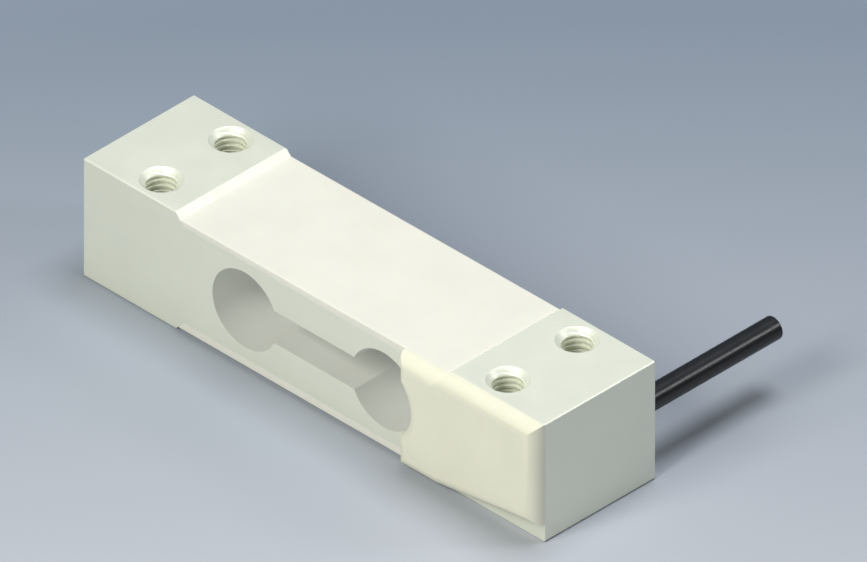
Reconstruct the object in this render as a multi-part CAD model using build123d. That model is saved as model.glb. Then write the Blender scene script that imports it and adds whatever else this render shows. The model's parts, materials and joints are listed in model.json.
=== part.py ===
from build123d import *
import os
from math import radians, sin, tan

# Miniature single-point load cell: a milled aluminium beam with a two-bore spring section,
# strain gauges sealed in shallow recesses, a circuit board under a round-edged side seal,
# and a shielded four-core cable that leaves the back face.
# The origin lies on the underside, midway between the two tapped holes of the fixed end.
# +X points to the fixed end, -Y to the face with the side seal, and +Z up. Millimetres.

# Beam
beam_length = 100.0
beam_width = 24.0
beam_height = 22.0
recess_past_bore = 6.2
recess_depth = 2.0
recess_slope_run = 1.8
edge_break = 0.2

# Spring section: two bores joined by a slot, all through the width
bore_radius = 7.0
bore_spacing = 30.0
slot_height = 6.0

# Tapped holes, two at each end and right through, with a 90 degree countersink at each mouth
tap_drill_radius = 2.5
hole_inset = 12.5
hole_spacing = 15.0
countersink_radius = 3.5

# Seals in the recesses
top_seal_thickness_load_end = 0.97
top_seal_thickness_fixed_end = 1.37
bottom_seal_thickness = 1.5

# Side seal, whose edges are rounded over its full depth
side_seal_depth = 2.5
side_seal_start_past_bore_centre = 4.8
side_seal_ramp_angle = 8.0

# Strain gauges: a film with a folded foil track that ends in two solder tabs
gauge_length = 8.0
gauge_width = 5.0
gauge_film = 0.1
gauge_foil = 0.05
strand_count = 6
strand_length = 3.4
strand_width = 0.25
strand_pitch = 0.45
strand_inset = 0.9
tab_length = 1.4
tab_width = 1.1
tab_spacing = 1.7
tab_gap = 0.5

# Gauge leads, which cross the front edge in lanes of their own
wire_sides = 6
lane_count = 4
lead_radius = 0.15
lead_clearance = 0.05
lead_pitch = 0.9
lead_straight = 1.5
lead_lane_past_gauge = 1.5
lead_overlap_on_board = 1.3

# Circuit board on the front face
board_thickness = 0.8
board_height = 11.0
board_past_bore = 1.2
board_end_margin = 2.0
board_pad_foil = 0.05
board_pad_size = 0.8
board_pad_inset = 1.1

# Chip resistors on the board
chip_length = 2.0
chip_width = 1.25
chip_height = 0.5
chip_cap_length = 0.4
chip_cap_step = 0.05
chip_pad_margin = 0.2
chip_column_pitch = 4.4
chip_row_pitch = 4.0
chip_cable_distance = 6.2

# Solder joints, drawn as blunt square pyramids
solder_height = 0.42
solder_side_inset = 0.15
gauge_solder_size = 0.9
lead_solder_size = 0.75
core_solder_size = 1.1
drain_solder_size = 0.8

# Cable, whose cores have the six-sided outline of a bundle of seven strands
cable_radius = 2.0
cable_free_length = 30.0
cable_inset = 4.5
jacket_wall = 0.5
shield_wall = 0.2
conductor_radius = 0.5
conductor_offset = 0.54
conductor_spread = 1.0
conductor_spread_run = 3.0
core_radius = 0.25
drain_radius = 0.18
jacket_end_depth = 6.0
insulation_past_jacket = 1.5
core_past_board = 0.25

# Cable hole and sealing ring
cable_hole_clearance = 0.1
ring_wall = 0.7
ring_depth = 1.5
ring_stand_out = 0.8
ring_lip_wall = 0.25
bond_gap = 0.02

# Places worked out from the sizes above
fixed_end_x = hole_inset
load_end_x = fixed_end_x - beam_length
load_hole_x = load_end_x + hole_inset
front_y = -beam_width / 2
back_y = beam_width / 2
middle_x = (load_end_x + fixed_end_x) / 2
middle_z = beam_height / 2
load_bore_x = middle_x - bore_spacing / 2
fixed_bore_x = middle_x + bore_spacing / 2
pad_length = (
    (beam_length - bore_spacing) / 2 - bore_radius - recess_past_bore - recess_slope_run
)
load_pad_x = load_end_x + pad_length
fixed_pad_x = fixed_end_x - pad_length
load_foot_x = load_pad_x + recess_slope_run
fixed_foot_x = fixed_pad_x - recess_slope_run
floor_z = beam_height - recess_depth
bottom_seal_z = recess_depth - bottom_seal_thickness
cable_x = fixed_end_x - cable_inset
cable_hole_radius = cable_radius + cable_hole_clearance
cable_end_y = back_y + cable_free_length
jacket_end_y = front_y + jacket_end_depth
insulation_end_y = jacket_end_y - insulation_past_jacket
board_face_y = front_y - board_thickness - board_pad_foil
core_end_y = board_face_y - core_past_board
board_start_x = fixed_bore_x + bore_radius + board_past_bore
board_end_x = fixed_end_x - board_end_margin
board_middle_x = (board_start_x + board_end_x) / 2
lead_pad_z = middle_z + board_height / 2 - board_pad_inset
lead_end_z = middle_z + board_height / 2 - lead_overlap_on_board
gauge_start = -strand_length / 2 - strand_inset
tab_x = gauge_start + gauge_length - tab_gap - tab_length / 2
tab_face_z = floor_z + gauge_film + gauge_foil
lead_z = tab_face_z + lead_clearance + lead_radius
lead_y = board_face_y - lead_clearance - lead_radius
shield_radius = cable_radius - jacket_wall
through = 2 * (beam_length + beam_width + beam_height)

front_plane = Plane(origin=(0, front_y, 0), x_dir=(1, 0, 0), z_dir=(0, -1, 0))
mid_height_plane = Plane.XY.offset(middle_z)


def face_of(*points):
    """A flat face inside straight edges through the points."""
    return make_face(Polyline(*points, close=True))


def along_y(radius, y_start, y_end, x=cable_x, z=middle_z):
    """A round bar that lies along Y between two places."""
    middle = (y_start + y_end) / 2
    bar = Cylinder(radius, abs(y_end - y_start))
    return Pos(x, middle, z) * Rot(90, 0, 0) * bar


def cable_tube(outer, inner):
    """A layer of the cable, over its whole length."""
    tube = along_y(outer, jacket_end_y, cable_end_y)
    return tube - along_y(inner, jacket_end_y - 1, cable_end_y + 1)


def wire(radius, points):
    """A fine six-sided wire, bent sharply from one straight run to the next."""
    path = Polyline(*points)
    section = (path ^ 0) * RegularPolygon(radius, wire_sides)
    return sweep(section, path=path, transition=Transition.RIGHT)


def below(shape):
    """The mirror image of a top-side piece, for the underside."""
    return mirror(shape, about=mid_height_plane)


# Beam

def beam_profile():
    """Side view of the beam, with the recesses between its end pads."""
    return Plane.XZ * face_of(
        (load_end_x, 0),
        (load_pad_x, 0),
        (load_foot_x, recess_depth),
        (fixed_foot_x, recess_depth),
        (fixed_pad_x, 0),
        (fixed_end_x, 0),
        (fixed_end_x, beam_height),
        (fixed_pad_x, beam_height),
        (fixed_foot_x, floor_z),
        (load_foot_x, floor_z),
        (load_pad_x, beam_height),
        (load_end_x, beam_height),
    )


def spring_cut():
    """The two bores and the slot between them, through the whole width."""
    outline = Rectangle(bore_spacing, slot_height)
    for side in (-1, 1):
        outline += Pos(side * bore_spacing / 2, 0) * Circle(bore_radius)
    view = Plane(origin=(middle_x, 0, middle_z), x_dir=(1, 0, 0), z_dir=(0, -1, 0))
    return extrude(view * outline, amount=beam_width, both=True)


def tapped_hole(x, y):
    """A through hole with a countersink at its top and bottom mouths."""
    sink = countersink_radius - tap_drill_radius
    hole = Pos(x, y, middle_z) * Cylinder(tap_drill_radius, beam_height + 2)
    mouth = Cone(tap_drill_radius, countersink_radius, sink)
    top_mouth = Pos(x, y, beam_height - sink / 2) * mouth
    return hole + top_mouth + below(top_mouth)


def cable_hole():
    """The hole across the fixed end, opened at the back for the sealing ring."""
    hole = along_y(cable_hole_radius, front_y - 1, back_y + 1)
    seat = along_y(cable_hole_radius + ring_wall, back_y - ring_depth, back_y + 1)
    return hole + seat


def broken_edges(beam):
    """Outer pad edges that no seal covers."""
    chosen = []
    for edge in beam.edges().filter_by(GeomType.LINE):
        c = edge.center()
        at_side = abs(abs(c.Y) - beam_width / 2) < 1e-6
        at_end = abs(c.X - load_end_x) < 1e-6 or abs(c.X - fixed_end_x) < 1e-6
        at_top_or_bottom = abs(c.Z) < 1e-6 or abs(c.Z - beam_height) < 1e-6
        under_side_seal = c.Y < 0 and c.X > middle_x
        across = abs(c.Y) < 1e-6
        if across and at_end and at_top_or_bottom:
            chosen.append(edge)
        elif at_side and not under_side_seal and (at_top_or_bottom or at_end):
            chosen.append(edge)
    return chosen


def make_beam():
    beam = extrude(beam_profile(), amount=beam_width / 2, both=True)
    beam = chamfer(broken_edges(beam), edge_break)
    beam -= spring_cut()
    for x in (load_hole_x, 0):
        for side in (-1, 1):
            beam -= tapped_hole(x, side * hole_spacing / 2)
    return beam - cable_hole()


# Strain gauges and their leads, drawn on the top side

def make_gauge(x):
    """A gauge on the recess floor, with its folded strands over the thinnest web."""
    foil_z = floor_z + gauge_film + gauge_foil / 2
    film_x = x + gauge_start + gauge_length / 2
    film = Pos(film_x, 0, floor_z + gauge_film / 2) * Box(gauge_length, gauge_width, gauge_film)
    first_y = -(strand_count - 1) * strand_pitch / 2
    foil = []
    for i in range(strand_count):
        strand = Box(strand_length, strand_width, gauge_foil)
        foil.append(Pos(x, first_y + i * strand_pitch, foil_z) * strand)
    for i in range(strand_count - 1):
        turn_x = x + (strand_length / 2 if i % 2 else -strand_length / 2)
        turn = Box(2 * strand_width, strand_pitch + strand_width, gauge_foil)
        foil.append(Pos(turn_x, first_y + (i + 0.5) * strand_pitch, foil_z) * turn)
    link_length = tab_x - strand_length / 2
    link_x = x + strand_length / 2 + link_length / 2
    for side in (-1, 1):
        link = Box(link_length, strand_width, gauge_foil)
        foil.append(Pos(link_x, side * abs(first_y), foil_z) * link)
        tab = Box(tab_length, tab_width, gauge_foil)
        foil.append(Pos(x + tab_x, side * tab_spacing / 2, foil_z) * tab)
    return film + foil


def lead_pad_x(lane):
    """Where a lead's lane meets the board, counted from the bore."""
    return board_start_x + board_pad_inset + lane * lead_pitch


def make_lead(gauge_x, side, lane):
    """One lead: along the recess floor, over the front edge and down onto the board."""
    start_x = gauge_x + tab_x
    tab_y = side * tab_spacing / 2
    points = [(start_x, tab_y, lead_z)]
    lane_y = tab_y
    if gauge_x < fixed_bore_x:
        lane_y = -(gauge_width / 2 + lead_lane_past_gauge) + lead_pitch * (side - 1) / 2
        jog = tab_y - lane_y
        points.append((start_x + lead_straight, tab_y, lead_z))
        points.append((start_x + lead_straight + jog, lane_y, lead_z))
    points.append((lead_pad_x(lane), lane_y, lead_z))
    points.append((lead_pad_x(lane), lead_y, lead_z))
    points.append((lead_pad_x(lane), lead_y, lead_end_z))
    return wire(lead_radius, points)


def solder_joint(size, x, y, z, facing):
    """A blunt pyramid of solder on a surface that faces the given way."""
    surface = Plane(origin=(x, y, z), z_dir=facing)
    inset = solder_side_inset
    top = size - inset
    on_foot = (Align.CENTER, Align.MIN, Align.CENTER)
    pyramid = Wedge(size, solder_height, size, inset, inset, top, top, align=on_foot)
    return surface * Rot(90, 0, 0) * pyramid


# Circuit board

def board_point(x, z, lift):
    """A place on the front of the board, so far off its foil."""
    return Pos(x, board_face_y - lift, z)


def chip_places():
    """Middles of the four chip resistors, in two columns and two rows."""
    places = []
    for column in (-1, 0):
        for row in (-1, 1):
            x = cable_x - chip_cable_distance + column * chip_column_pitch
            places.append((x, middle_z + row * chip_row_pitch / 2))
    return places


def core_places():
    """Offsets from the cable's axis of the four conductors."""
    return [(-1, 1), (1, 1), (-1, -1), (1, -1)]


def wire_lands():
    """Place, land size and wire radius of the five soldered holes."""
    lands = [(cable_x, middle_z, drain_solder_size, drain_radius)]
    for across, up in core_places():
        x, z = cable_x + across * conductor_spread, middle_z + up * conductor_spread
        lands.append((x, z, core_solder_size, core_radius))
    return lands


def board_blank():
    """The panel, its back on the beam's front face, with its raised foil pads."""
    panel = Box(board_end_x - board_start_x, board_thickness, board_height)
    foil_y = board_face_y + board_pad_foil / 2
    raised = []
    for lane in range(lane_count):
        for z in (lead_pad_z, 2 * middle_z - lead_pad_z):
            pad = Box(board_pad_size, board_pad_foil, board_pad_size)
            raised.append(Pos(lead_pad_x(lane), foil_y, z) * pad)
    for x, z in chip_places():
        for end in (-1, 1):
            pad = Box(chip_cap_length + 2 * chip_pad_margin, board_pad_foil, chip_width)
            raised.append(Pos(x + end * (chip_length - chip_cap_length) / 2, foil_y, z) * pad)
    for x, z, land_size, _ in wire_lands():
        land = Box(land_size, board_pad_foil, land_size)
        raised.append(Pos(x, foil_y, z) * land)
    return Pos(board_middle_x, front_y - board_thickness / 2, middle_z) * panel + raised


def make_board():
    """The board, with the holes for the cable's bare wires."""
    holes = []
    for x, z, _, wire_radius in wire_lands():
        holes.append(along_y(wire_radius + bond_gap, board_face_y - 1, front_y + 1, x, z))
    return board_blank() - holes


def make_chip(x, z):
    """A chip resistor: a ceramic block with a slightly larger metal cap at each end."""
    core_height = chip_height - chip_cap_step
    block = board_point(x, z, core_height / 2) * Box(chip_length, core_height, chip_width)
    for end in (-1, 1):
        cap_x = x + end * (chip_length - chip_cap_length) / 2
        cap = Box(chip_cap_length, chip_height, chip_width)
        block += board_point(cap_x, z, chip_height / 2) * cap
    return block


# Cable

def make_core(across, up):
    """A conductor's core, straight through the cable, then spread to its hole in the board."""
    x, z = cable_x + across * conductor_offset, middle_z + up * conductor_offset
    wide_x, wide_z = cable_x + across * conductor_spread, middle_z + up * conductor_spread
    spread_start_y = insulation_end_y - bond_gap
    route = [
        (x, cable_end_y, z),
        (x, spread_start_y, z),
        (wide_x, spread_start_y - conductor_spread_run, wide_z),
        (wide_x, core_end_y, wide_z),
    ]
    return wire(core_radius, route)


def make_insulation(across, up):
    """The skin of a conductor, which ends a little past the jacket."""
    x, z = cable_x + across * conductor_offset, middle_z + up * conductor_offset
    skin = along_y(conductor_radius, insulation_end_y, cable_end_y, x, z)
    return skin - along_y(core_radius + bond_gap, insulation_end_y - 1, cable_end_y + 1, x, z)


def make_cable_seal():
    """The sealing ring in its seat, with a short tapered lip around the cable."""
    inner = cable_radius + bond_gap
    outer = cable_hole_radius + ring_wall
    section = face_of(
        (inner, -ring_depth),
        (outer, -ring_depth),
        (outer, 0),
        (inner + ring_lip_wall, ring_stand_out),
        (inner, ring_stand_out),
    )
    view = Plane(origin=(cable_x, back_y, middle_z), x_dir=(1, 0, 0), z_dir=(0, 0, 1))
    return revolve(view * section, axis=Axis((cable_x, back_y, middle_z), (0, 1, 0)))


# Seals

def top_seal_z(x):
    """Height of the top seal's sloping surface."""
    share = (x - load_foot_x) / (fixed_foot_x - load_foot_x)
    rise = top_seal_thickness_fixed_end - top_seal_thickness_load_end
    return floor_z + top_seal_thickness_load_end + share * rise


def recess_seal(*points):
    """A seal across the whole width, bounded by the recess."""
    section = Plane.XZ * face_of(*points) - beam_profile()
    return extrude(section, amount=beam_width / 2, both=True)


def make_top_seal():
    return recess_seal(
        (load_pad_x, middle_z),
        (fixed_pad_x, middle_z),
        (fixed_pad_x, top_seal_z(fixed_pad_x)),
        (load_pad_x, top_seal_z(load_pad_x)),
    )


def make_bottom_seal():
    return recess_seal(
        (load_pad_x, bottom_seal_z),
        (fixed_pad_x, bottom_seal_z),
        (fixed_pad_x, middle_z),
        (load_pad_x, middle_z),
    )


def rounded_slab(start, end):
    """Everything left of an outline edge, with a full quarter round along the edge."""
    edge = Vector(end[0] - start[0], 0, end[1] - start[1]).normalized()
    inward = Vector(-edge.Z, 0, edge.X)
    view = Plane(origin=(start[0], front_y, start[1]), x_dir=inward, z_dir=edge)
    depth = side_seal_depth
    corner = sin(radians(45)) * depth
    outline = ThreePointArc((0, 0), (depth - corner, corner), (depth, depth))
    outline += Polyline((depth, depth), (through, depth), (through, 0), (0, 0))
    return extrude(view * make_face(outline), amount=through, both=True)


def bore_clearance():
    """The rounded mouth that the side seal leaves around the bore."""
    depth = side_seal_depth
    corner = sin(radians(45)) * depth
    flat_radius = bore_radius + depth
    outline = Polyline(
        (flat_radius, depth), (flat_radius, depth + 1), (0, depth + 1), (0, 0), (bore_radius, 0)
    )
    outline += ThreePointArc(
        (bore_radius, 0), (flat_radius - corner, corner), (flat_radius, depth)
    )
    view = Plane(origin=(fixed_bore_x, front_y, middle_z), x_dir=(1, 0, 0), z_dir=(0, 0, -1))
    axis = Axis((fixed_bore_x, front_y, middle_z), (0, -1, 0))
    return revolve(view * make_face(outline), axis=axis)


def side_seal_body():
    """The outer form: a level over the recess, a higher one over the pad."""
    left_x = fixed_bore_x + side_seal_start_past_bore_centre
    ramp_rise = tan(radians(side_seal_ramp_angle)) * (fixed_end_x - fixed_foot_x)
    left = rounded_slab((left_x, beam_height), (left_x, 0))
    level = rounded_slab((left_x, bottom_seal_z), (fixed_foot_x, bottom_seal_z))
    ramp = rounded_slab((fixed_foot_x, bottom_seal_z), (fixed_end_x, bottom_seal_z + ramp_rise))
    right = rounded_slab((fixed_end_x, 0), (fixed_end_x, beam_height))
    low_top = rounded_slab(
        (fixed_foot_x, top_seal_z(fixed_foot_x)), (load_foot_x, top_seal_z(load_foot_x))
    )
    high_top = rounded_slab((fixed_end_x, beam_height), (load_end_x, beam_height))
    sides = left & right & level & ramp
    slope = recess_slope_run / recess_depth
    pad_side = front_plane * face_of(
        (fixed_foot_x - slope * (floor_z - middle_z), middle_z),
        (fixed_end_x + 1, middle_z),
        (fixed_end_x + 1, beam_height + 1),
        (fixed_pad_x + slope, beam_height + 1),
    )
    over_pad = extrude(pad_side, amount=through)
    return (sides & low_top) + (sides & high_top & over_pad)


def make_side_seal():
    """The moulding on the front face, which leaves the bore free."""
    return side_seal_body() - bore_clearance()


# All pieces by name

def make_gauges_and_leads(pieces):
    """Gauges, leads and their solder, top and bottom. Returns what the seals are poured around."""
    top = []
    board_joints = []
    gauge_joints = []
    places = [("load", load_bore_x), ("fixed", fixed_bore_x)]
    for number, (end, x) in enumerate(places):
        gauge = make_gauge(x)
        leads = []
        for side in (-1, 1):
            lane = 2 * number + (side + 1) // 2
            lead = make_lead(x, side, lane)
            leads.append(lead)
            tab_y = side * tab_spacing / 2
            on_gauge = solder_joint(gauge_solder_size, x + tab_x, tab_y, tab_face_z, (0, 0, 1))
            gauge_joints.append(on_gauge - lead)
            on_board = solder_joint(
                lead_solder_size, lead_pad_x(lane), board_face_y, lead_pad_z, (0, -1, 0)
            )
            board_joints.append(on_board - lead)
        pieces[f"gauge_top_{end}"] = gauge
        pieces[f"gauge_bottom_{end}"] = below(gauge)
        pieces[f"leads_top_{end}"] = Compound(children=leads)
        pieces[f"leads_bottom_{end}"] = Compound(children=[below(lead) for lead in leads])
        top += [gauge, *leads]
    top += gauge_joints
    bottom = [below(piece) for piece in top]
    pieces["gauge_solder"] = Compound(
        children=gauge_joints + [below(joint) for joint in gauge_joints]
    )
    return top, bottom, board_joints + [below(joint) for joint in board_joints]


def make_cable(pieces):
    """The cable's layers, one inside another. Returns the solder joints of its wires."""
    joints = []
    for colour, (across, up) in zip(("red", "black", "green", "white"), core_places()):
        core = make_core(across, up)
        pieces[f"core_{colour}"] = core
        pieces[f"insulation_{colour}"] = make_insulation(across, up)
        x, z = cable_x + across * conductor_spread, middle_z + up * conductor_spread
        joint = solder_joint(core_solder_size, x, board_face_y, z, (0, -1, 0))
        joints.append(joint - core)
    drain = along_y(drain_radius, core_end_y, cable_end_y)
    joint = solder_joint(drain_solder_size, cable_x, board_face_y, middle_z, (0, -1, 0))
    joints.append(joint - drain)
    pieces["drain_wire"] = drain
    pieces["cable_shield"] = cable_tube(shield_radius, shield_radius - shield_wall)
    pieces["cable_jacket"] = cable_tube(cable_radius, shield_radius)
    return joints


def make_pieces():
    """Every piece by its name."""
    pieces = {"load_beam": make_beam()}
    top, bottom, lead_joints = make_gauges_and_leads(pieces)
    core_joints = make_cable(pieces)
    board_joints = lead_joints + core_joints
    pieces["board_solder"] = Compound(children=board_joints)
    pieces["compensation_board"] = make_board()
    chips = []
    names = ("span_resistor_plus", "span_resistor_minus", "zero_resistor", "input_resistor")
    for name, (x, z) in zip(names, chip_places()):
        pieces[name] = make_chip(x, z)
        chips.append(pieces[name])
    bare_wires = [pieces[name] for name in pieces if name.startswith(("core_", "drain_"))]
    skins = [pieces[name] for name in pieces if name.startswith("insulation_")]
    plug = along_y(cable_hole_radius, front_y, jacket_end_y)
    pieces["cable_seal"] = make_cable_seal()
    pieces["cable_potting"] = plug - (bare_wires + skins)
    pieces["top_seal"] = make_top_seal() - top
    pieces["bottom_seal"] = make_bottom_seal() - bottom
    on_front = top + bottom + board_joints + chips + bare_wires + [board_blank()]
    pieces["side_seal"] = make_side_seal() - on_front
    return pieces


if __name__ == "__main__":
    os.makedirs("parts", exist_ok=True)
    for name, piece in make_pieces().items():
        export_step(piece, f"parts/{name}.step")
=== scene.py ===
import json
import logging
from dataclasses import dataclass
from enum import Enum
from math import cos, pi, radians, sin, tan
from typing import Callable, Iterable

import bpy
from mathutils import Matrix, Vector

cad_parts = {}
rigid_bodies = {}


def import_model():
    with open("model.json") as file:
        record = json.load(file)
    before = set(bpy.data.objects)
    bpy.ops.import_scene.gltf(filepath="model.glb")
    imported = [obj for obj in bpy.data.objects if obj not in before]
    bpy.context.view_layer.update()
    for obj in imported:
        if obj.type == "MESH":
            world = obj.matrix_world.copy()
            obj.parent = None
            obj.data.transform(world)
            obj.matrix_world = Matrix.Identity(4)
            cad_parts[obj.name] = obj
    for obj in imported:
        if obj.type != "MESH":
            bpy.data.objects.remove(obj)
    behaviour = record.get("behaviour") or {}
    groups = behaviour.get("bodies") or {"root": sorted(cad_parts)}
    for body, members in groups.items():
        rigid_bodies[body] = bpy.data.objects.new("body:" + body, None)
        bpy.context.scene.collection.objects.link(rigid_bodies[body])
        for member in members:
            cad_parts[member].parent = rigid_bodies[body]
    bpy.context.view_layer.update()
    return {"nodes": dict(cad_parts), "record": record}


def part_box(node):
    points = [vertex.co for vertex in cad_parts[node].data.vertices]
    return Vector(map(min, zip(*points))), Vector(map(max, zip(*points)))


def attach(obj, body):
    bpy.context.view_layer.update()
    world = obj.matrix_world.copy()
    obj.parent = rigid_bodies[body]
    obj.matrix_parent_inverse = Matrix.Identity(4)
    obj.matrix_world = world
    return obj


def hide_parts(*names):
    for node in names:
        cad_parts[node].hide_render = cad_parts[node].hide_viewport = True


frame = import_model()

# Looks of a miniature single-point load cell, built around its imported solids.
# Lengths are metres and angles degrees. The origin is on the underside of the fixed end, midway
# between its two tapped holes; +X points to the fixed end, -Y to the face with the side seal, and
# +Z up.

logging.basicConfig(level=logging.INFO, format="%(message)s")
log = logging.getLogger("load_cell")

Colour = tuple[float, float, float]
Triple = tuple[float, float, float]
Span = tuple[float, float]
Socket = bpy.types.NodeSocket
Feed = Socket | float | Triple

ROOT = "root"
BACKDROP: Colour = (0.30, 0.35, 0.43)
MM = 0.001

# Points nearer than a weld are one, and faces within the flat angle of each other are one.
WELD = 0.002 * MM
FINE_WELD = 0.001 * MM
FLAT_ANGLE = 0.4

# Most of a noise's values lie between these two.
MOST_NOISE: Span = (0.3, 0.7)


# Modelling by hand

def deselect_all() -> None:
    """Nothing selected and nothing active, in object mode."""
    if bpy.context.object and bpy.context.object.mode != "OBJECT":
        bpy.ops.object.mode_set(mode="OBJECT")
    for piece in bpy.context.view_layer.objects:
        piece.select_set(False)
    bpy.context.view_layer.objects.active = None


def take_up(piece: bpy.types.Object) -> None:
    """Make one piece the only selected and the active one.

    Args:
        piece: the object that the next operators act on.
    """
    deselect_all()
    piece.select_set(True)
    bpy.context.view_layer.objects.active = piece


def set_down(piece: bpy.types.Object) -> None:
    """Move a finished piece's place into its mesh, so that its object sits at the origin.

    Args:
        piece: the object to set down.
    """
    take_up(piece)
    bpy.ops.object.transform_apply(location=True, rotation=True, scale=True)


def open_mesh(piece: bpy.types.Object, action: str = "SELECT") -> None:
    """Take up a piece in edit mode.

    Args:
        piece: the mesh object.
        action: SELECT or DESELECT, for the whole of its mesh.
    """
    take_up(piece)
    bpy.ops.object.mode_set(mode="EDIT")
    bpy.ops.mesh.select_all(action=action)


def apply_modifiers(piece: bpy.types.Object) -> None:
    """Apply all the modifiers of a piece in their order.

    Args:
        piece: the object whose modifiers are applied.
    """
    take_up(piece)
    for name in [modifier.name for modifier in piece.modifiers]:
        bpy.ops.object.modifier_apply(modifier=name)


def merged_copy(node: str, name: str) -> bpy.types.Object:
    """A closed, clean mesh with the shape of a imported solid.

    Args:
        node: the solid's name in the frame.
        name: the name of the new piece.

    Returns:
        The new object, which stands for the solid.
    """
    piece = bpy.data.objects.new(name, frame["nodes"][node].data.copy())
    piece.data.name = name
    bpy.context.scene.collection.objects.link(piece)
    take_up(piece)
    if piece.data.has_custom_normals:
        bpy.ops.mesh.customdata_custom_splitnormals_clear()
    open_mesh(piece)
    bpy.ops.mesh.remove_doubles(threshold=WELD)
    bpy.ops.mesh.dissolve_limited(angle_limit=radians(FLAT_ANGLE))
    bpy.ops.object.mode_set(mode="OBJECT")
    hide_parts(node)
    return piece


def select_edges(piece: bpy.types.Object, wanted: Callable[[Vector, Vector], bool]) -> int:
    """Select a piece's edges by the places of their two ends.

    Args:
        piece: the mesh object.
        wanted: says for an edge's two end points whether it is selected.

    Returns:
        How many edges are selected.
    """
    open_mesh(piece, "DESELECT")
    bpy.ops.mesh.select_mode(type="EDGE")
    bpy.ops.object.mode_set(mode="OBJECT")
    mesh = piece.data
    chosen = 0
    for edge in mesh.edges:
        start, end = (mesh.vertices[i].co for i in edge.vertices)
        edge.select = wanted(start, end)
        chosen += edge.select
    bpy.ops.object.mode_set(mode="EDIT")
    return chosen


def bevel_selected(width: float, segments: int) -> None:
    """Round the selected edges, in edit mode, and return to object mode.

    Args:
        width: how far the rounding reaches from the edge.
        segments: how many faces it has across.
    """
    bpy.ops.mesh.bevel(offset=width, segments=segments, affect="EDGES", clamp_overlap=True)
    bpy.ops.object.mode_set(mode="OBJECT")


def merge_close(piece: bpy.types.Object) -> None:
    """Merge points that fall together, and dissolve the faces left without an area.

    Args:
        piece: the mesh object.
    """
    open_mesh(piece)
    bpy.ops.mesh.remove_doubles(threshold=FINE_WELD)
    bpy.ops.mesh.dissolve_degenerate(threshold=FINE_WELD)
    bpy.ops.object.mode_set(mode="OBJECT")


def shade(piece: bpy.types.Object, angle: float = 30.0) -> None:
    """Smooth shading that leaves large flats flat, with edges sharper than the angle crisp.

    Args:
        piece: the mesh object.
        angle: the least sharp edge's angle in degrees.
    """
    take_up(piece)
    bpy.ops.object.shade_smooth_by_angle(angle=radians(angle))
    even = piece.modifiers.new("even_flats", "WEIGHTED_NORMAL")
    even.mode = "FACE_AREA"
    even.weight = 100
    even.keep_sharp = True
    bpy.ops.object.modifier_apply(modifier=even.name)


# Materials

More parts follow.
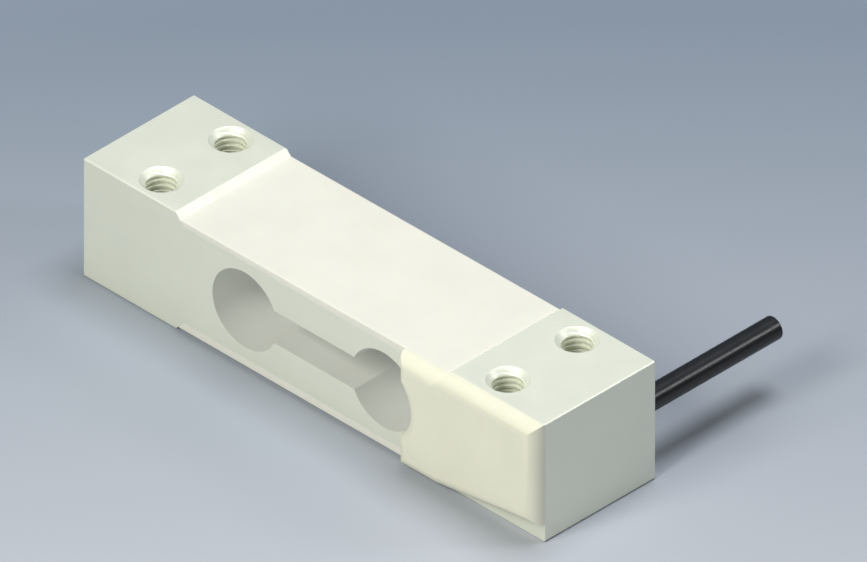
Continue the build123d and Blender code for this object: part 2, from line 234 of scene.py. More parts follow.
class Sheet:
    """The shader of one finish, written from its coordinates to its surface."""

    # The Mix node's sockets for the share and the two colours, and the one for the mixed colour.
    mix_inputs = (0, 6, 7)
    mix_output = 2

    def __init__(self, name: str, **constants: float | Colour) -> None:
        """Start a material with one surface shader.

        Args:
            name: the material's name.
            constants: values set directly on the shader's sockets, with _ for each space.
        """
        self.material = bpy.data.materials.new(name)
        self.material.use_nodes = True
        self.tree = self.material.node_tree
        self.surface = self.tree.nodes["Principled BSDF"]
        for socket, value in constants.items():
            self._feed(self.surface.inputs[socket.replace("_", " ")], value)
        self.place = self._node("ShaderNodeTexCoord").outputs["Object"]

    def _feed(self, socket: Socket, value: Feed) -> None:
        """Link a socket, or set its value.

        Args:
            socket: what is fed.
            value: another node's socket, or a plain value. A colour gets its alpha here.
        """
        if isinstance(value, bpy.types.NodeSocket):
            self.tree.links.new(value, socket)
        elif socket.type == "RGBA" and len(value) == 3:
            socket.default_value = (*value, 1.0)
        else:
            socket.default_value = value

    def _node(self, kind: str, feeds: dict[str | int, Feed] | None = None,
              **settings: str) -> bpy.types.Node:
        """Add a node, set it and feed its sockets.

        Args:
            kind: the node's type.
            feeds: what goes into its sockets, by their names or numbers.
            settings: the node's own settings.

        Returns:
            The node.
        """
        node = self.tree.nodes.new(kind)
        for key, value in settings.items():
            setattr(node, key, value)
        for socket, value in (feeds or {}).items():
            self._feed(node.inputs[socket], value)
        return node

    def stretched(self, scale: Triple, centre: Triple = (0, 0, 0)) -> Socket:
        """Object coordinates moved to a centre and scaled along each axis.

        Args:
            scale: factor along each axis.
            centre: the place that becomes the pattern's origin.

        Returns:
            The vector's socket.
        """
        feeds = {"Vector": self.place, "Location": centre, "Scale": tuple(1 / s for s in scale)}
        return self._node("ShaderNodeMapping", feeds, vector_type="TEXTURE").outputs["Vector"]

    def noise(self, scale: float, detail: float = 3.0, vector: Socket | None = None,
              rough: float = 0.5) -> Socket:
        """Cloudy variation from 0 to 1.

        Args:
            scale: features to the metre.
            detail: how many finer layers there are.
            vector: the coordinates, or None for the plain object coordinates.
            rough: how strong the finer layers are.

        Returns:
            The value's socket.
        """
        feeds = {"Vector": vector or self.place, "Scale": scale, "Detail": detail,
                 "Roughness": rough}
        return self._node("ShaderNodeTexNoise", feeds).outputs["Fac"]

    def specks(self, scale: float, size: float) -> Socket:
        """Sparse round specks, 1 inside and 0 outside.

        Args:
            scale: cells to the metre.
            size: a speck's radius as a share of its cell.

        Returns:
            The value's socket.
        """
        cells = self._node("ShaderNodeTexVoronoi", {"Vector": self.place, "Scale": scale})
        return self.math("LESS_THAN", cells.outputs["Distance"], size)

    def bands(self, along: str, scale: float, vector: Socket | None = None,
              distortion: float = 0.0) -> Socket:
        """Even bands, from 0 to 1 and back.

        Args:
            along: X, Y, Z or DIAGONAL, the direction that the bands follow one another in.
            scale: the wave's scale.
            vector: the coordinates, or None for the plain object coordinates.
            distortion: how far the bands wander.

        Returns:
            The value's socket.
        """
        feeds = {"Vector": vector or self.place, "Scale": scale, "Distortion": distortion}
        return self._node("ShaderNodeTexWave", feeds, bands_direction=along).outputs["Fac"]

    def rings(self, scale: float, centre: Triple) -> Socket:
        """Even circles in the XY plane about a centre, from 0 to 1 and back.

        Args:
            scale: the wave's scale.
            centre: the circles' middle.

        Returns:
            The value's socket.
        """
        feeds = {"Vector": self.stretched((1, 1, 1), centre), "Scale": scale}
        wave = self._node("ShaderNodeTexWave", feeds, wave_type="RINGS", rings_direction="Z")
        return wave.outputs["Fac"]

    def part(self, axis: str) -> Socket:
        """The X, Y or Z of a place on the object."""
        return self._node("ShaderNodeSeparateXYZ", {"Vector": self.place}).outputs[axis]

    def away(self, axis: str, centre: float) -> Socket:
        """How far a place is from the centre along one axis, without sign."""
        return self.math("ABSOLUTE", self.math("SUBTRACT", self.part(axis), centre), 0.0)

    def within(self, middle: Triple, reach: Triple) -> Socket:
        """1 inside a box and 0 outside it.

        Args:
            middle: the box's middle.
            reach: how far the box reaches from its middle along each axis.

        Returns:
            The value's socket.
        """
        inside: Socket | float = 1.0
        for axis, centre, half in zip("XYZ", middle, reach):
            near = self.math("LESS_THAN", self.away(axis, centre), half)
            inside = self.math("MULTIPLY", inside, near)
        return inside

    def either(self, share: Socket, first: Socket, second: Socket) -> Socket:
        """One value turning into another.

        Args:
            share: 0 for the first value and 1 for the second.
            first: the first value.
            second: the second value.

        Returns:
            The value's socket.
        """
        rest = self.math("MULTIPLY", first, self.math("SUBTRACT", 1.0, share))
        return self.math("ADD", rest, self.math("MULTIPLY", second, share))

    def facing(self, axis: str) -> Socket:
        """How far the surface faces along an axis, without sign.

        Args:
            axis: X, Y or Z.

        Returns:
            The value's socket.
        """
        normal = self._node("ShaderNodeNewGeometry").outputs["Normal"]
        split = self._node("ShaderNodeSeparateXYZ", {"Vector": normal})
        return self.math("ABSOLUTE", split.outputs[axis], 0.0)

    def math(self, operation: str, first: Socket | float, second: Socket | float) -> Socket:
        """One sum of two values, by its name in the math node."""
        node = self._node("ShaderNodeMath", {0: first, 1: second}, operation=operation)
        return node.outputs["Value"]

    def spread(self, value: Socket, low: float, high: float, source: Span = (0.0, 1.0)) -> Socket:
        """A value moved from one range to another, and kept in it.

        Args:
            value: the value's socket.
            low: the result at the source's low end.
            high: the result at the source's high end.
            source: the range that the value comes from.

        Returns:
            The result's socket.
        """
        feeds = {"Value": value, "From Min": source[0], "From Max": source[1],
                 "To Min": low, "To Max": high}
        return self._node("ShaderNodeMapRange", feeds).outputs["Result"]

    def mix(self, share: Socket, first: Socket | Colour, second: Socket | Colour) -> Socket:
        """One colour turning into another.

        Args:
            share: 0 for the first colour and 1 for the second.
            first: the first colour.
            second: the second colour.

        Returns:
            The colour's socket.
        """
        feeds = dict(zip(self.mix_inputs, (share, first, second)))
        return self._node("ShaderNodeMix", feeds, data_type="RGBA").outputs[self.mix_output]

    def reach(self) -> Socket:
        """How far a place is from the origin."""
        node = self._node("ShaderNodeVectorMath", {0: self.place}, operation="LENGTH")
        return node.outputs["Value"]

    def set(self, socket: str, value: Socket) -> None:
        """Feed one of the surface shader's sockets with what varies over the surface."""
        self._feed(self.surface.inputs[socket], value)

    def worn(self, share: Socket, colour: Colour, tone: float, roughness: Span) -> None:
        """Let one variation drive both the surface's colour and its roughness.

        Args:
            share: the variation, 1 where the colour is clean.
            colour: the clean colour.
            tone: how much of it is left where the variation is 0.
            roughness: the roughness where the variation is 0 and where it is 1.
        """
        self.set("Base Color", self.mix(share, toned(colour, tone), colour))
        self.set("Roughness", self.spread(share, *roughness))

    def fade_for_camera(self, share: Socket, colour: Colour) -> None:
        """Show the camera a plain colour in place of the surface.

        Args:
            share: 0 for the surface and 1 for the plain colour.
            colour: the plain colour.
        """
        seen = self._node("ShaderNodeLightPath").outputs["Is Camera Ray"]
        plain = self._node("ShaderNodeEmission", {"Color": colour}).outputs["Emission"]
        choice = self._node("ShaderNodeMixShader", {
            0: self.math("MULTIPLY", share, seen), 1: self.surface.outputs["BSDF"], 2: plain,
        })
        self._feed(self.tree.nodes["Material Output"].inputs["Surface"], choice.outputs["Shader"])

    def relief(self, *layers: tuple[Socket, float]) -> None:
        """Bump the surface by one or more layers.

        Args:
            layers: pairs of a height from 0 to 1 and its depth in metres.
        """
        normal: Socket | None = None
        for height, depth in layers:
            node = self._node("ShaderNodeBump", {"Height": height, "Distance": depth})
            if normal is not None:
                self._feed(node.inputs["Normal"], normal)
            normal = node.outputs["Normal"]
        self.set("Normal", normal)


def toned(colour: Colour, share: float) -> Colour:
    """The colour with each channel times the share, deeper below 1 and paler above it."""
    return tuple(channel * share for channel in colour)


def wave_scale(pitch: float) -> float:
    """The wave texture's scale that gives one band to each pitch."""
    return pi / 10 / pitch


@dataclass(frozen=True)
class MilledAluminium:
    """Fine-milled aluminium under a thin clear anodised skin, finely bored in the spring, where a
    paler colour is painted light.
    """

    colour: Colour = (0.875, 0.895, 0.765)
    # The bores' paler colour and lighter marks are painted light.
    bore_painted_light_colour: Colour = (0.88, 0.89, 0.84)
    worn_tone: float = 0.91
    bore_painted_light_worn_tone: float = 0.94
    roughness: Span = (0.36, 0.50)
    tone_span: Span = (0.2, 0.8)
    mark_share: float = 0.35
    cloud_share: float = 0.65
    mark_depth: float = 0.0035 * MM
    wander_depth: float = 0.003 * MM
    tool_mark: float = 0.0007
    mill_centre: Triple = (0.06, -0.05, 0.0)
    feed_mark: float = 0.0004
    facing_up: float = 0.7
    spring_middle: Triple = (-0.0375, 0.0, 0.011)
    spring_reach: Triple = (0.02202, 0.01194, 0.00702)

    def build(self) -> bpy.types.Material:
        """Mill arcs on the pads, cutter lines on the sides and feed lines in the bores, and paint
        light into the bores as a paler colour.

        Returns:
            The finished material.
        """
        sheet = Sheet("milled_aluminium", Metallic=0.33, Specular_IOR_Level=0.5)
        up = sheet.math("GREATER_THAN", sheet.facing("Z"), self.facing_up)
        arcs = sheet.rings(wave_scale(self.tool_mark), self.mill_centre)
        wander = sheet.noise(900.0, 2.0)
        lines = sheet.noise(1.0, 4.0, sheet.stretched((40.0, 2600.0, 2600.0)), 0.6)
        feed = sheet.bands("Y", wave_scale(self.feed_mark))
        cloud = sheet.noise(160.0, 4.0)
        bored = sheet.within(self.spring_middle, self.spring_reach)
        marks = sheet.either(bored, sheet.either(up, lines, arcs), feed)
        tone = sheet.math("ADD", sheet.math("MULTIPLY", marks, self.mark_share),
                          sheet.math("MULTIPLY", cloud, self.cloud_share))
        # Inside the bores the colour and its marks are paler, which is painted light on the shaded
        # bore walls; the feed lines there are the real finish.
        clean = sheet.mix(bored, self.colour, self.bore_painted_light_colour)
        worn = sheet.mix(bored, toned(self.colour, self.worn_tone),
                         toned(self.bore_painted_light_colour, self.bore_painted_light_worn_tone))
        sheet.set("Base Color", sheet.mix(tone, worn, clean))
        sheet.set("Roughness", sheet.spread(tone, *self.roughness, self.tone_span))
        sheet.relief((marks, self.mark_depth), (wander, self.wander_depth))
        return sheet.material


class SealTone(Enum):
    """The two silicones: white in the recesses, ivory on the side."""

    WHITE = (0.825, 0.82, 0.735)
    IVORY = (0.825, 0.818, 0.67)


@dataclass(frozen=True)
class Silicone:
    """Cured silicone sealant, a little translucent, with a faintly uneven skin."""

    tone: SealTone
    cloud_tone: float = 0.955
    dust_tone: float = 0.62
    dust_share: float = 0.35
    dust_size: float = 0.035
    roughness: Span = (0.36, 0.50)
    swell_depth: float = 0.05 * MM
    peel_depth: float = 0.006 * MM

    def build(self) -> bpy.types.Material:
        """Clouding, fine orange peel and a few dust specks.

        Returns:
            The finished material.
        """
        colour = self.tone.value
        sheet = Sheet(f"silicone_{self.tone.name.lower()}", Subsurface_Weight=0.12,
                      Subsurface_Radius=(1.0, 0.8, 0.6), Subsurface_Scale=0.6 * MM,
                      Specular_IOR_Level=0.42)
        cloud = sheet.spread(sheet.noise(110.0, 4.0), 0.0, 1.0, MOST_NOISE)
        peel = sheet.noise(900.0, 2.0)
        swell = sheet.noise(140.0, 1.0)
        dust = sheet.math("MULTIPLY", sheet.specks(420.0, self.dust_size), self.dust_share)
        base = sheet.mix(cloud, toned(colour, self.cloud_tone), colour)
        sheet.set("Base Color", sheet.mix(dust, base, toned(colour, self.dust_tone)))
        sheet.set("Roughness", sheet.spread(peel, *self.roughness, MOST_NOISE))
        sheet.relief((swell, self.swell_depth), (peel, self.peel_depth))
        return sheet.material


@dataclass(frozen=True)
class SealRing:
    """Moulded rubber of the sealing ring, with a matt skin."""

    colour: Colour = (0.72, 0.72, 0.69)
    smear_tone: float = 0.86
    roughness: Span = (0.5, 0.68)
    skin_depth: float = 0.008 * MM

    def build(self) -> bpy.types.Material:
        """Handling marks over a finely pitted skin.

        Returns:
            The finished material.
        """
        sheet = Sheet("ring_rubber", Specular_IOR_Level=0.4)
        sheet.worn(sheet.noise(380.0, 4.0), self.colour, self.smear_tone, self.roughness)
        sheet.relief((sheet.noise(2200.0, 3.0), self.skin_depth))
        return sheet.material


@dataclass(frozen=True)
class CableJacket:
    """Smooth black jacket, drawn lengthwise."""

    colour: Colour = (0.0035, 0.0035, 0.0035)
    mark_tone: float = 1.8
    roughness: Span = (0.29, 0.34)
    drawn_depth: float = 0.0025 * MM
    skin_depth: float = 0.0008 * MM

    def build(self) -> bpy.types.Material:
        """Draw lines along the cable and dull finger marks.

        Returns:
            The finished material.
        """
        sheet = Sheet("cable_jacket", Specular_IOR_Level=0.46)
        drawn = sheet.noise(1.0, 3.0, sheet.stretched((3200.0, 60.0, 3200.0)))
        marks = sheet.noise(260.0, 4.0)
        sheet.set("Base Color", sheet.mix(marks, self.colour, toned(self.colour, self.mark_tone)))
        sheet.set("Roughness", sheet.spread(marks, *self.roughness, MOST_NOISE))
        sheet.relief((drawn, self.drawn_depth), (sheet.noise(1500.0, 2.0), self.skin_depth))
        return sheet.material


@dataclass(frozen=True)
class Braid:
    """Tinned copper braid, seen as crossing bands on the shield."""

    light: Colour = (0.66, 0.64, 0.60)
    gap: Colour = (0.16, 0.12, 0.09)
    strand_scale: float = 900.0
    wander: float = 0.4
    roughness: Span = (0.6, 0.32)
    strand_depth: float = 0.03 * MM

    def build(self) -> bpy.types.Material:
        """Two sets of slanting strands.

        Returns:
            The finished material.
        """
        sheet = Sheet("shield_braid", Metallic=0.9)
        weave = [
            sheet.bands("DIAGONAL", self.strand_scale, sheet.stretched((side, 1.0, 1.0)),
                        self.wander)
            for side in (1.0, -1.0)
        ]
        strands = sheet.math("MAXIMUM", *weave)
        sheet.set("Base Color", sheet.mix(strands, self.gap, self.light))
        sheet.set("Roughness", sheet.spread(strands, *self.roughness))
        sheet.relief((strands, self.strand_depth))
        return sheet.material


@dataclass(frozen=True)
class ConductorSkin:
    """Coloured insulation of one conductor."""

    name: str
    colour: Colour
    streak_tone: float = 0.8
    roughness: Span = (0.3, 0.46)
    streak_depth: float = 0.006 * MM

    def build(self) -> bpy.types.Material:
        """Drawn plastic with slight streaks.

        Returns:
            The finished material.
        """
        sheet = Sheet(f"insulation_{self.name}", Specular_IOR_Level=0.5)
        streaks = sheet.noise(1.0, 3.0, sheet.stretched((3600.0, 120.0, 3600.0)))
        sheet.worn(streaks, self.colour, self.streak_tone, self.roughness)
        sheet.relief((streaks, self.streak_depth))
        return sheet.material


class Metal(Enum):
    """The bright metals inside the cell, with their colours."""

    COPPER = (0.80, 0.42, 0.24)
    TIN = (0.70, 0.70, 0.68)
    SOLDER = (0.74, 0.75, 0.77)


@dataclass(frozen=True)
class Wire:
    """Bare or tinned wire and solder: drawn or cooled metal with slight tarnish."""

    metal: Metal
    roughness: Span = (0.25, 0.45)
    tarnish_tone: float = 0.72
    scratch_depth: float = 0.004 * MM
    tarnish_depth: float = 0.006 * MM

    def build(self) -> bpy.types.Material:
        """Tarnish clouds and fine scratches along the wire.

        Returns:
            The finished material.
        """
        sheet = Sheet(f"wire_{self.metal.name.lower()}", Metallic=1.0)
        tarnish = sheet.noise(700.0, 5.0)
        scratches = sheet.noise(1.0, 2.0, sheet.stretched((5200.0, 300.0, 5200.0)))
        sheet.worn(tarnish, self.metal.value, self.tarnish_tone, self.roughness)
        sheet.relief((scratches, self.scratch_depth), (tarnish, self.tarnish_depth))
        return sheet.material


@dataclass(frozen=True)
class EnamelledLead:
    """Copper lead under a clear red-brown enamel."""

    colour: Colour = (0.46, 0.15, 0.06)
    flow_tone: float = 0.7
    roughness: Span = (0.25, 0.4)
    flow_depth: float = 0.004 * MM

    def build(self) -> bpy.types.Material:
        """Glossy enamel with slight unevenness.

        Returns:
            The finished material.
        """
        sheet = Sheet("lead_enamel", Metallic=0.5, Coat_Weight=0.7, Coat_Roughness=0.12)
        flow = sheet.noise(1400.0, 3.0)
        sheet.worn(flow, self.colour, self.flow_tone, self.roughness)
        sheet.relief((flow, self.flow_depth))
        return sheet.material


@dataclass(frozen=True)
class GaugeFilm:
    """Amber film that carries a grey foil track, told apart by their height."""

    film: Colour = (0.62, 0.34, 0.06)
    foil: Colour = (0.62, 0.60, 0.55)
    film_tone: float = 0.8
    foil_tone: float = 0.85
    foil_metal: float = 0.9
    roughness: Span = (0.3, 0.45)
    grain_depth: float = 0.002 * MM
    middle_height: float = 0.011
    foil_from_middle: float = 0.00911

    def build(self) -> bpy.types.Material:
        """Film, and foil where the surface lies further from mid height.

        Returns:
            The finished material.
        """
        sheet = Sheet("gauge_film", Coat_Weight=0.25, Coat_Roughness=0.3)
        height = sheet.away("Z", self.middle_height)
        is_foil = sheet.math("GREATER_THAN", height, self.foil_from_middle)
        grain = sheet.noise(2600.0, 4.0)
        film = sheet.mix(grain, toned(self.film, self.film_tone), self.film)
        foil = sheet.mix(grain, toned(self.foil, self.foil_tone), self.foil)
        sheet.set("Base Color", sheet.mix(is_foil, film, foil))
        sheet.set("Metallic", sheet.math("MULTIPLY", is_foil, self.foil_metal))
        sheet.set("Roughness", sheet.spread(grain, *self.roughness))
        sheet.relief((grain, self.grain_depth))
        return sheet.material


@dataclass(frozen=True)
class BoardLaminate:
    """Green circuit board, with tinned pads that stand a little proud of it."""

    mask: Colour = (0.015, 0.16, 0.06)
    edge: Colour = (0.44, 0.38, 0.2)
    pad: Colour = (0.74, 0.74, 0.72)
    weave_tone: float = 1.25
    edge_tone: float = 0.7
    pad_metal: float = 0.95
    roughness: Span = (0.28, 0.42)
    weave_scale: float = 700.0
    weave_depth: float = 0.006 * MM
    pad_face_y: float = -0.01282
    rim_facing: float = 0.5

    def build(self) -> bpy.types.Material:
        """Mask on the faces, laminate at the rim and tin on the pads.

        Returns:
            The finished material.
        """
        sheet = Sheet("board_laminate", Specular_IOR_Level=0.5)
        weave = sheet.math("MULTIPLY", sheet.bands("X", self.weave_scale),
                           sheet.bands("Z", self.weave_scale))
        is_pad = sheet.math("LESS_THAN", sheet.part("Y"), self.pad_face_y)
        at_rim = sheet.math("LESS_THAN", sheet.facing("Y"), self.rim_facing)
        mask = sheet.mix(weave, self.mask, toned(self.mask, self.weave_tone))
        rim = sheet.mix(sheet.noise(1800.0, 4.0), self.edge, toned(self.edge, self.edge_tone))
        sheet.set("Base Color", sheet.mix(is_pad, sheet.mix(at_rim, mask, rim), self.pad))
        sheet.set("Metallic", sheet.math("MULTIPLY", is_pad, self.pad_metal))
        sheet.set("Roughness", sheet.spread(sheet.noise(900.0, 3.0), *self.roughness))
        sheet.relief((weave, self.weave_depth))
        return sheet.material


@dataclass(frozen=True)
class ChipBody:
    """Chip resistor: black glaze between two tinned caps."""

    middle_x: float
    cap_from_middle: float = 0.0006
    glaze: Colour = (0.018, 0.018, 0.02)
    cap: Colour = (0.72, 0.72, 0.7)
    glaze_tone: float = 1.8
    cap_tone: float = 0.8
    cap_metal: float = 0.95
    roughness: Span = (0.25, 0.4)
    grain_depth: float = 0.004 * MM

    def build(self) -> bpy.types.Material:
        """Glaze, and tin where the surface lies further from the chip's middle.

        Returns:
            The finished material.
        """
        sheet = Sheet("chip_resistor", Specular_IOR_Level=0.5)
        is_cap = sheet.math("GREATER_THAN", sheet.away("X", self.middle_x), self.cap_from_middle)
        grain = sheet.noise(3200.0, 4.0)
        cap = sheet.mix(grain, toned(self.cap, self.cap_tone), self.cap)
        glaze = sheet.mix(grain, self.glaze, toned(self.glaze, self.glaze_tone))
        sheet.set("Base Color", sheet.mix(is_cap, glaze, cap))
        sheet.set("Metallic", sheet.math("MULTIPLY", is_cap, self.cap_metal))
        sheet.set("Roughness", sheet.spread(grain, *self.roughness))
        sheet.relief((grain, self.grain_depth))
        return sheet.material


@dataclass(frozen=True)
class PottingResin:
    """Dark cured resin with a few trapped bubbles."""

    colour: Colour = (0.03, 0.03, 0.035)
    cloud_tone: float = 1.8
    bubble_tone: float = 3.0
    bubble_size: float = 0.12
    roughness: Span = (0.2, 0.35)
    bubble_depth: float = 0.01 * MM

    def build(self) -> bpy.types.Material:
        """Glossy and slightly cloudy, with bubble specks.

        Returns:
            The finished material.
        """
        sheet = Sheet("potting_resin", Coat_Weight=0.3, Coat_Roughness=0.1)
        cloud = sheet.noise(600.0, 4.0)
        bubbles = sheet.specks(2400.0, self.bubble_size)
        base = sheet.mix(cloud, self.colour, toned(self.colour, self.cloud_tone))
        sheet.set("Base Color", sheet.mix(bubbles, base, toned(self.colour, self.bubble_tone)))
        sheet.set("Roughness", sheet.spread(cloud, *self.roughness))
        sheet.relief((bubbles, self.bubble_depth))
        return sheet.material


@dataclass(frozen=True)
class FloorPaper:
    """Plain pale paper under the cell, a little deeper in tone further back."""

    near: Colour = (0.49, 0.515, 0.57)
    far: Colour = (0.235, 0.285, 0.36)
    blend: Span = (-0.06, 0.17)
    fade: Span = (0.13, 0.2)
    grain_share: float = 0.06
    grain_tone: float = 0.8

    def build(self) -> bpy.types.Material:
        """A slow blend with a faint grain, lost in the backdrop far away.

        Returns:
            The finished material.
        """
        sheet = Sheet("floor_paper", Roughness=0.85, Specular_IOR_Level=0.2)
        across = sheet.math("SUBTRACT", sheet.part("Y"), sheet.part("X"))
        tone = sheet.mix(sheet.spread(across, 0.0, 1.0, self.blend), self.near, self.far)
        grain = sheet.spread(sheet.noise(1200.0, 4.0), 0.0, self.grain_share)
        sheet.set("Base Color", sheet.mix(grain, tone, toned(self.near, self.grain_tone)))
        sheet.fade_for_camera(sheet.spread(sheet.reach(), 0.0, 1.0, self.fade), BACKDROP)
        return sheet.material


def dress(node: str, material: bpy.types.Material) -> None:
    """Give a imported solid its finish, and leave its mesh alone.

    Args:
        node: the solid's name in the frame.
        material: the finish.
    """
    solid = frame["nodes"][node]
    if not solid.material_slots:
        solid.data.materials.append(material)
    for held in solid.material_slots:
        held.material = material
    log.info("dressed %s in %s", node, material.name)


def finish_piece(piece: bpy.types.Object, material: bpy.types.Material) -> None:
    """Give a new piece its finish and fix it to the frame.

    Args:
        piece: the finished mesh.
        material: its finish.
    """
    piece.data.materials.clear()
    piece.data.materials.append(material)
    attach(piece, ROOT)
    piece.data.calc_loop_triangles()
    log.info("built %s: %d triangles", piece.name, len(piece.data.loop_triangles))


# Sub-assemblies

@dataclass
class Beam:
    """The milled beam: its solid with softened edges and M6 threads cut in its four holes."""

    height: float = 22 * MM
    sharp_edge: float = 30.0
    edge_rounding: float = 0.1 * MM
    edge_segments: int = 2
    thread_pitch: float = 1.0 * MM
    thread_major_radius: float = 3.0 * MM
    thread_flank: float = 30.0
    cutter_depth: float = 0.6 * MM
    cutter_corners: int = 4
    steps_per_turn: int = 32
    spare_turns: int = 2

    def hole_places(self) -> list[tuple[float, float]]:
        """Middles of the four tapped holes, from the record's mounts.

        Returns:
            The x and y of each hole.
        """
        places = []
        for mount in frame["record"]["mounts"]:
            if mount["kind"] == "bolt_pattern":
                x, y, _ = mount["pos_m"]
                half = mount["dims"]["spacing_y_mm"] * MM / 2
                places += [(x, y - half), (x, y + half)]
        return places

    def thread_cutter(self) -> bpy.types.Object:
        """A right-hand spiral of diamond section, long enough to cut a whole hole's thread.

        Returns:
            The cutter, upright on the origin.
        """
        deselect_all()
        bpy.ops.mesh.primitive_circle_add(vertices=self.cutter_corners, radius=self.cutter_depth,
                                          rotation=(radians(90), 0, 0))
        cutter = bpy.context.object
        cutter.name = "thread_cutter"
        set_down(cutter)
        open_mesh(cutter)
        bpy.ops.transform.resize(value=(1, 1, tan(radians(self.thread_flank))))
        bpy.ops.transform.translate(
            value=(self.thread_major_radius - self.cutter_depth, 0, -self.thread_pitch)
        )
        bpy.ops.object.mode_set(mode="OBJECT")
        screw = cutter.modifiers.new("screw", "SCREW")
        screw.axis = "Z"
        screw.screw_offset = self.thread_pitch
        screw.iterations = round(self.height / self.thread_pitch) + self.spare_turns
        screw.steps = screw.render_steps = self.steps_per_turn
        screw.use_merge_vertices = False
        apply_modifiers(cutter)
        open_mesh(cutter)
        bpy.ops.mesh.remove_doubles(threshold=FINE_WELD)
        bpy.ops.mesh.select_mode(type="EDGE")
        bpy.ops.mesh.select_all(action="DESELECT")
        bpy.ops.mesh.select_non_manifold(extend=False)
        bpy.ops.mesh.fill_holes(sides=self.cutter_corners)
        bpy.ops.mesh.select_all(action="SELECT")
        bpy.ops.mesh.normals_make_consistent(inside=False)
        bpy.ops.object.mode_set(mode="OBJECT")
        return cutter

    def cut_threads(self, beam: bpy.types.Object) -> None:
        """Cut the thread in each of the four holes.

        Args:
            beam: the closed mesh of the beam.
        """
        master = self.thread_cutter()
        for x, y in self.hole_places():
            cutter = bpy.data.objects.new("hole_cutter", master.data.copy())
            bpy.context.scene.collection.objects.link(cutter)
            cutter.location = (x, y, 0)
            set_down(cutter)
            take_up(beam)
            cut = beam.modifiers.new("thread", "BOOLEAN")
            cut.operation = "DIFFERENCE"
            cut.solver = "EXACT"
            cut.object = cutter
            bpy.ops.object.modifier_apply(modifier=cut.name)
            bpy.data.objects.remove(cutter)
        bpy.data.objects.remove(master)

    def build(self) -> bpy.types.Object:
        """Model the beam and dress it.

        Returns:
            The beam's new mesh.
        """
        beam = merged_copy("load_beam", "beam_threaded")
        open_mesh(beam, "DESELECT")
        bpy.ops.mesh.select_mode(type="EDGE")
        bpy.ops.mesh.edges_select_sharp(sharpness=radians(self.sharp_edge))
        bevel_selected(self.edge_rounding, self.edge_segments)
        self.cut_threads(beam)
        merge_close(beam)
        shade(beam)
        finish_piece(beam, MilledAluminium().build())
        return beam


@dataclass
class Seals:
    """The silicone in both recesses and on the front face, and the ring at the cable."""

    half_depth: float = 12 * MM
    recess_rounding: float = 0.22 * MM
    rounding_segments: int = 4
    long_edge: float = 10 * MM
    above_leads: float = 0.8 * MM
    near: float = 0.01 * MM

    def recess_seal(self, node: str, name: str,
                    material: bpy.types.Material) -> bpy.types.Object:
        """A recess filling that is slightly rounded along its sides and round its open face.

        Args:
            node: the solid that it stands for.
            name: the new piece's name.
            material: its finish.

        Returns:
            The new piece.
        """
        seal = merged_copy(node, name)
        low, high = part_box(node)
        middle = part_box("load_beam")[1].z / 2
        floor_z = min(low.z, high.z, key=lambda z: abs(z - middle))

        def free_edge(start: Vector, end: Vector) -> bool:
            """Whether an edge bounds the open face, along a side of the beam or across it.

            Args:
                start: one end of the edge.
                end: its other end.

            Returns:
                True for an edge to round.
            """
            ends = (start, end)
            on_open_face = all(abs(point.z - floor_z) > self.above_leads for point in ends)
            along_side = all(abs(abs(point.y) - self.half_depth) < self.near for point in ends)
            return on_open_face and (along_side and abs(start.x - end.x) > self.long_edge
                                     or abs(start.y - end.y) > self.long_edge)

        chosen = select_edges(seal, free_edge)
        bevel_selected(self.recess_rounding, self.rounding_segments)
        log.info("rounded %d edges of %s", chosen, name)
        merge_close(seal)
        shade(seal)
        finish_piece(seal, material)
        return seal

    def side_seal(self, material: bpy.types.Material) -> bpy.types.Object:
        """The round-edged moulding on the front face.

        Args:
            material: its finish.

        Returns:
            The new piece.
        """
        seal = merged_copy("side_seal", "side_seal_moulding")
        shade(seal)
        finish_piece(seal, material)
        return seal

    def build(self) -> None:
        """Model and dress every seal."""
        white = Silicone(SealTone.WHITE).build()
        ivory = Silicone(SealTone.IVORY).build()
        self.recess_seal("top_seal", "top_seal_poured", white)
        self.recess_seal("bottom_seal", "bottom_seal_poured", white)
        self.side_seal(ivory)
        dress("cable_seal", SealRing().build())
        dress("cable_potting", PottingResin().build())


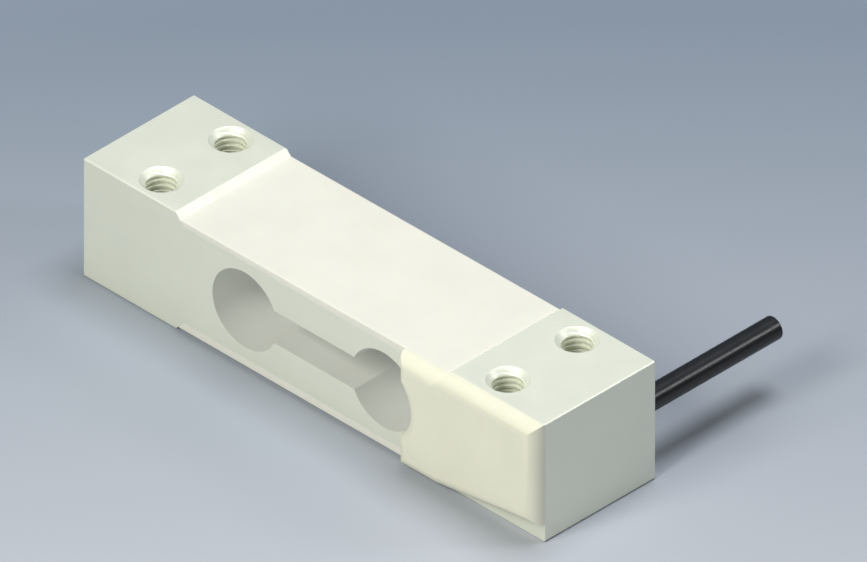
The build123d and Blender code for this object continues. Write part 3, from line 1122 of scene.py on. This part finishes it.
@dataclass
class Cable:
    """The short shielded cable: its jacket, shield, four conductors and drain wire."""

    x: float = 8 * MM
    z: float = 11 * MM
    inner_end_y: float = -6 * MM
    exit_y: float = 12 * MM
    free_end_y: float = 42 * MM
    radius: float = 2 * MM
    wall: float = 0.5 * MM
    line_steps: int = 8
    round_steps: int = 14
    cut_edge: float = 40.0
    cut_rounding: float = 0.06 * MM
    cut_segments: int = 2

    def route(self) -> bpy.types.Object:
        """The jacket's line as a smooth curve with no thickness.

        Returns:
            The curve object.
        """
        line = bpy.data.curves.new("cable_line", "CURVE")
        line.dimensions = "3D"
        line.resolution_u = self.line_steps
        spline = line.splines.new("NURBS")
        stops = (self.inner_end_y, self.exit_y, self.free_end_y)
        spline.points.add(len(stops) - 1)
        for point, y in zip(spline.points, stops):
            point.co = (self.x, y, self.z, 1.0)
        spline.order_u = 3
        spline.use_endpoint_u = True
        curve = bpy.data.objects.new("cable_jacket_drawn", line)
        bpy.context.scene.collection.objects.link(curve)
        return curve

    def followed_points(self, curve: bpy.types.Object) -> list[Triple]:
        """Points along the curve, in their order.

        Args:
            curve: the line of the cable.

        Returns:
            The points in the solids' frame.
        """
        line = bpy.data.meshes.new_from_object(curve)
        points = [tuple(vertex.co) for vertex in line.vertices]
        bpy.data.meshes.remove(line)
        return points

    def jacket(self) -> bpy.types.Object:
        """The jacket as a tube with a real wall, its cut ends slightly rounded.

        Returns:
            The tube.
        """
        curve = self.route()
        points = self.followed_points(curve)
        curve.data.bevel_depth = self.radius
        curve.data.bevel_resolution = self.round_steps
        take_up(curve)
        bpy.ops.object.convert(target="MESH")
        tube = bpy.context.object
        open_mesh(tube)
        bpy.ops.mesh.remove_doubles(threshold=WELD)
        bpy.ops.mesh.normals_make_consistent(inside=False)
        bpy.ops.object.mode_set(mode="OBJECT")
        wall = tube.modifiers.new("wall", "SOLIDIFY")
        wall.thickness = self.wall
        wall.offset = -1.0
        wall.use_even_offset = True
        soften = tube.modifiers.new("cut_ends", "BEVEL")
        soften.width = self.cut_rounding
        soften.segments = self.cut_segments
        soften.limit_method = "ANGLE"
        soften.angle_limit = radians(self.cut_edge)
        apply_modifiers(tube)
        shade(tube)
        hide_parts("cable_jacket")
        finish_piece(tube, CableJacket().build())
        inner = ["cable_shield", "drain_wire"]
        for colour in ("red", "black", "green", "white"):
            inner += [f"insulation_{colour}", f"core_{colour}"]
        return tube

    def build(self) -> None:
        """Model and dress the cable."""
        self.jacket()
        dress("cable_shield", Braid().build())
        skins = {
            "red": (0.42, 0.02, 0.015),
            "black": (0.02, 0.02, 0.02),
            "green": (0.02, 0.22, 0.06),
            "white": (0.78, 0.78, 0.75),
        }
        copper = Wire(Metal.COPPER).build()
        for colour, skin in skins.items():
            dress(f"insulation_{colour}", ConductorSkin(colour, skin).build())
            dress(f"core_{colour}", copper)
        dress("drain_wire", Wire(Metal.TIN).build())


@dataclass
class GaugeCircuit:
    """What the seals cover: gauges, leads, solder, the board and its chip resistors."""

    chips: tuple[str, ...] = (
        "span_resistor_plus", "span_resistor_minus", "zero_resistor", "input_resistor",
    )

    def build(self) -> None:
        """Dress every hidden solid."""
        film = GaugeFilm().build()
        enamel = EnamelledLead().build()
        for side in ("top", "bottom"):
            for end in ("load", "fixed"):
                dress(f"gauge_{side}_{end}", film)
                dress(f"leads_{side}_{end}", enamel)
        solder = Wire(Metal.SOLDER, (0.18, 0.34)).build()
        dress("gauge_solder", solder)
        dress("board_solder", solder)
        dress("compensation_board", BoardLaminate().build())
        for chip in self.chips:
            low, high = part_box(chip)
            dress(chip, ChipBody((low.x + high.x) / 2).build())


@dataclass
class SoftLight:
    """One square soft lamp that points at the cell's middle."""

    name: str
    place: Triple
    size: float
    watts: float
    colour: Colour = (1.0, 1.0, 1.0)

    def build(self, target: Vector) -> bpy.types.Object:
        """Hang the lamp and turn it to the target.

        Args:
            target: the point that it shines on.

        Returns:
            The lamp's object.
        """
        lamp = bpy.data.lights.new(self.name, "AREA")
        lamp.shape = "SQUARE"
        lamp.size = self.size
        lamp.energy = self.watts
        lamp.color = self.colour
        hung = bpy.data.objects.new(self.name, lamp)
        bpy.context.scene.collection.objects.link(hung)
        hung.location = self.place
        hung.rotation_euler = (target - Vector(self.place)).to_track_quat("-Z", "Y").to_euler()
        return hung


@dataclass
class Studio:
    """Pale floor, soft light and the camera at the photograph's angle."""

    target: Triple = (-0.03752, 0.01388, 0.011)
    azimuth: float = 45.0
    elevation: float = 35.264
    view_width: float = 0.13269
    camera_distance: float = 0.85
    clip_end: float = 10.0
    floor_size: float = 3.0
    floor_squares: int = 24
    floor_flat: float = 0.9
    floor_curl: float = 0.6
    floor_gap: float = 0.0001
    world_strength: float = 0.08
    world_colour: Colour = (0.93, 0.94, 0.95)

    def camera(self) -> bpy.types.Object:
        """A camera without perspective, as the photograph's, looking down on one corner.

        Returns:
            The camera's object.
        """
        held = bpy.data.cameras.new("camera")
        held.type = "ORTHO"
        held.ortho_scale = self.view_width
        held.clip_end = self.clip_end
        camera = bpy.data.objects.new("camera", held)
        bpy.context.scene.collection.objects.link(camera)
        around, up = radians(self.azimuth), radians(self.elevation)
        back = Vector((sin(around) * cos(up), -cos(around) * cos(up), sin(up)))
        camera.location = Vector(self.target) + back * self.camera_distance
        camera.rotation_euler = back.to_track_quat("Z", "Y").to_euler()
        bpy.context.scene.camera = camera
        return camera

    def floor(self) -> bpy.types.Object:
        """A broad sheet of paper whose far edges curl up gently.

        Returns:
            The floor's object.
        """
        deselect_all()
        bpy.ops.mesh.primitive_grid_add(x_subdivisions=self.floor_squares,
                                        y_subdivisions=self.floor_squares,
                                        size=self.floor_size)
        floor = bpy.context.object
        floor.name = "floor"
        for vertex in floor.data.vertices:
            reach = max(0.0, Vector(vertex.co.xy).length - self.floor_flat)
            vertex.co.z = self.floor_curl * reach * reach - self.floor_gap
        floor.data.materials.append(FloorPaper().build())
        shade(floor)
        return floor

    def lamps(self) -> list[SoftLight]:
        """One lamp overhead, one before the front face and a small one for the cable.

        Returns:
            The three lamps.
        """
        return [
            SoftLight("overhead", (0.005, 0.15, 0.74), 0.32, 3.2, (0.94, 0.97, 1.0)),
            SoftLight("front_key", (-0.02, -0.575, 0.49), 0.36, 4.45, (1.0, 0.985, 0.90)),
            SoftLight("cable_glint", (0.41, 0.43, 0.41), 0.14, 0.75),
        ]

    def world(self) -> None:
        """Weak even light from all round, before a pale backdrop that the camera and gloss see."""
        world = bpy.data.worlds.new("studio")
        bpy.context.scene.world = world
        world.use_nodes = True
        nodes, links = world.node_tree.nodes, world.node_tree.links
        even = nodes["Background"]
        even.inputs["Color"].default_value = (*self.world_colour, 1.0)
        even.inputs["Strength"].default_value = self.world_strength
        backdrop = nodes.new("ShaderNodeBackground")
        backdrop.inputs["Color"].default_value = (*BACKDROP, 1.0)
        path = nodes.new("ShaderNodeLightPath")
        seen = path.outputs["Is Camera Ray"]
        for ray in ("Is Glossy Ray", "Is Transmission Ray"):
            either = nodes.new("ShaderNodeMath")
            either.operation = "MAXIMUM"
            links.new(seen, either.inputs[0])
            links.new(path.outputs[ray], either.inputs[1])
            seen = either.outputs["Value"]
        choice = nodes.new("ShaderNodeMixShader")
        links.new(seen, choice.inputs[0])
        links.new(even.outputs["Background"], choice.inputs[1])
        links.new(backdrop.outputs["Background"], choice.inputs[2])
        links.new(choice.outputs["Shader"], nodes["World Output"].inputs["Surface"])

    def build(self) -> None:
        """Set the stage."""
        self.camera()
        self.floor()
        middle = Vector(self.target)
        for lamp in self.lamps():
            lamp.build(middle)
        self.world()
        bpy.context.scene.view_settings.view_transform = "Standard"
        log.info("stage set")


def main() -> None:
    """Build the whole cell and its stage.
    """
    Studio().build()
    Cable().build()
    Beam().build()
    Seals().build()
    GaugeCircuit().build()


if __name__ == "__main__":
    main()
